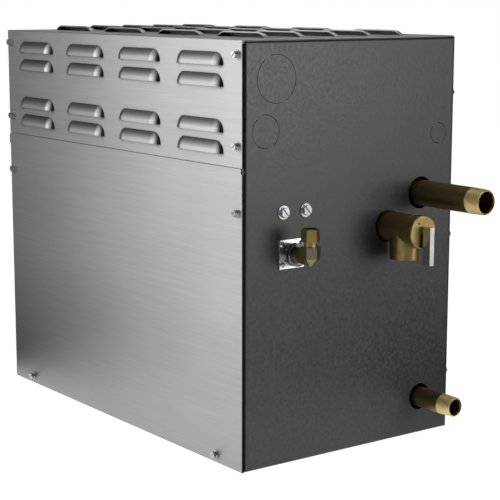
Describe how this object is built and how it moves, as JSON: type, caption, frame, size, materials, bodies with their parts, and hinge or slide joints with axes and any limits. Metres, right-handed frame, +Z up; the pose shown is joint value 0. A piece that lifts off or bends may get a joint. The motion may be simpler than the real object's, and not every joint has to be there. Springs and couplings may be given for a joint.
{
  "type": "steam generator",
  "caption": "Cabinet electric steam generator with louvred cover, threaded steam and drain pipes, relief valve with test lever and solenoid water inlet.",
  "frame": {"origin": "centre of the flat underside that the cabinet stands on", "axes": "+X out of the dark end panel that carries the pipes, along the steam outlet's axis; -Y out of the silver front panel; +Z up"},
  "size_m": [0.5666, 0.2831, 0.4246],
  "materials": {
    "brushed_stainless": "fine grain along the cabinet's length, satin",
    "dark_powder_coat": "fine-textured dark grey powder coat, low sheen",
    "aged_brass": "dull olive-brown cast and drawn brass, brighter on cut threads",
    "bright_nickel": "bright plated",
    "zinc_plate": "bright zinc plated sheet",
    "plain_steel": "mill finish stainless",
    "black_rubber": "matt",
    "black_plastic": "fine moulded texture",
    "pale_plastic": "satin",
    "red_plastic": "gloss",
    "porcelain": "glazed",
    "core_steel": "varnished laminations",
    "winding": "varnished winding with tape",
    "circuit_board": "solder-masked laminate",
    "black_insulation": "wire insulation",
    "red_insulation": "wire insulation"
  },
  "bodies": {
    "root": {"chassis_base": "dark_powder_coat", "pipe_end_panel": "dark_powder_coat", "far_end_panel": "dark_powder_coat", "rear_panel": "dark_powder_coat", "front_lower_panel": "brushed_stainless", "louvred_cover": "brushed_stainless", "cover_screws": "bright_nickel", "panel_screws": "bright_nickel", "rear_screws": "bright_nickel", "divider_wall": "plain_steel", "wire_grommets": "black_rubber", "tank_shell": "plain_steel", "tank_feet": "plain_steel", "tank_gasket": "black_rubber", "tank_lid": "plain_steel", "lid_bolts": "bright_nickel", "heating_element_front": "plain_steel", "heating_element_rear": "plain_steel", "element_fittings": "aged_brass", "element_insulators": "porcelain", "terminal_nuts": "aged_brass", "level_probe": "plain_steel", "probe_fitting": "aged_brass", "high_limit_cutout": "black_plastic", "steam_outlet_nipple": "aged_brass", "drain_nipple": "aged_brass", "safety_valve_nipple": "aged_brass", "relief_valve_body": "aged_brass", "relief_valve_cap": "aged_brass", "relief_valve_spring": "plain_steel", "inlet_plate": "zinc_plate", "inlet_plate_screws": "zinc_plate", "inlet_valve_body": "aged_brass", "solenoid_coil": "black_plastic", "coil_nut": "zinc_plate", "plunger_spring": "plain_steel", "valve_bracket": "zinc_plate", "bracket_screws": "bright_nickel", "inlet_collar": "bright_nickel", "collar_seal": "black_rubber", "inlet_elbow": "aged_brass", "compression_ferrule": "aged_brass", "compression_nut": "aged_brass", "fill_tube": "plain_steel", "contactor_body": "black_plastic", "armature_spring": "plain_steel", "transformer_core": "core_steel", "transformer_coil": "winding", "terminal_block": "black_plastic", "control_board": "circuit_board", "board_standoffs": "aged_brass", "power_leads": "black_insulation", "control_wires": "red_insulation"},
    "stem": {"relief_valve_stem": "plain_steel", "lever_pin": "bright_nickel"},
    "lever": {"test_lever": "bright_nickel"},
    "plunger": {"solenoid_plunger": "plain_steel"},
    "armature": {"contactor_armature": "pale_plastic"},
    "button": {"reset_button": "red_plastic"}
  },
  "joints": [
    {"name": "stem_lift", "type": "slide", "parent": "root", "child": "stem", "axis": [1, 0, 0], "range_m": [0, 0.002], "stiffness_N_per_m": 300, "deforming": ["relief_valve_spring"]},
    {"name": "lever_swing", "type": "hinge", "parent": "stem", "child": "lever", "pos_m": [0.29395, 0.0478, 0.2277], "axis": [0, -1, 0], "range_deg": [0, 75]},
    {"name": "plunger_lift", "type": "slide", "parent": "root", "child": "plunger", "axis": [0, 0, 1], "range_m": [0, 0.003], "stiffness_N_per_m": 200, "springref_m": -0.004, "deforming": ["plunger_spring"]},
    {"name": "armature_pull", "type": "slide", "parent": "root", "child": "armature", "axis": [0, 1, 0], "range_m": [0, 0.0025], "stiffness_N_per_m": 400, "springref_m": -0.004, "deforming": ["armature_spring"]},
    {"name": "button_press", "type": "slide", "parent": "root", "child": "button", "axis": [0, 0, -1], "range_m": [0, 0.0015], "stiffness_N_per_m": 300, "springref_m": -0.001}
  ],
  "couplings": [
    {"joint": "lever_swing", "follows": "stem_lift", "rad_per_m": 654.5}
  ]
}
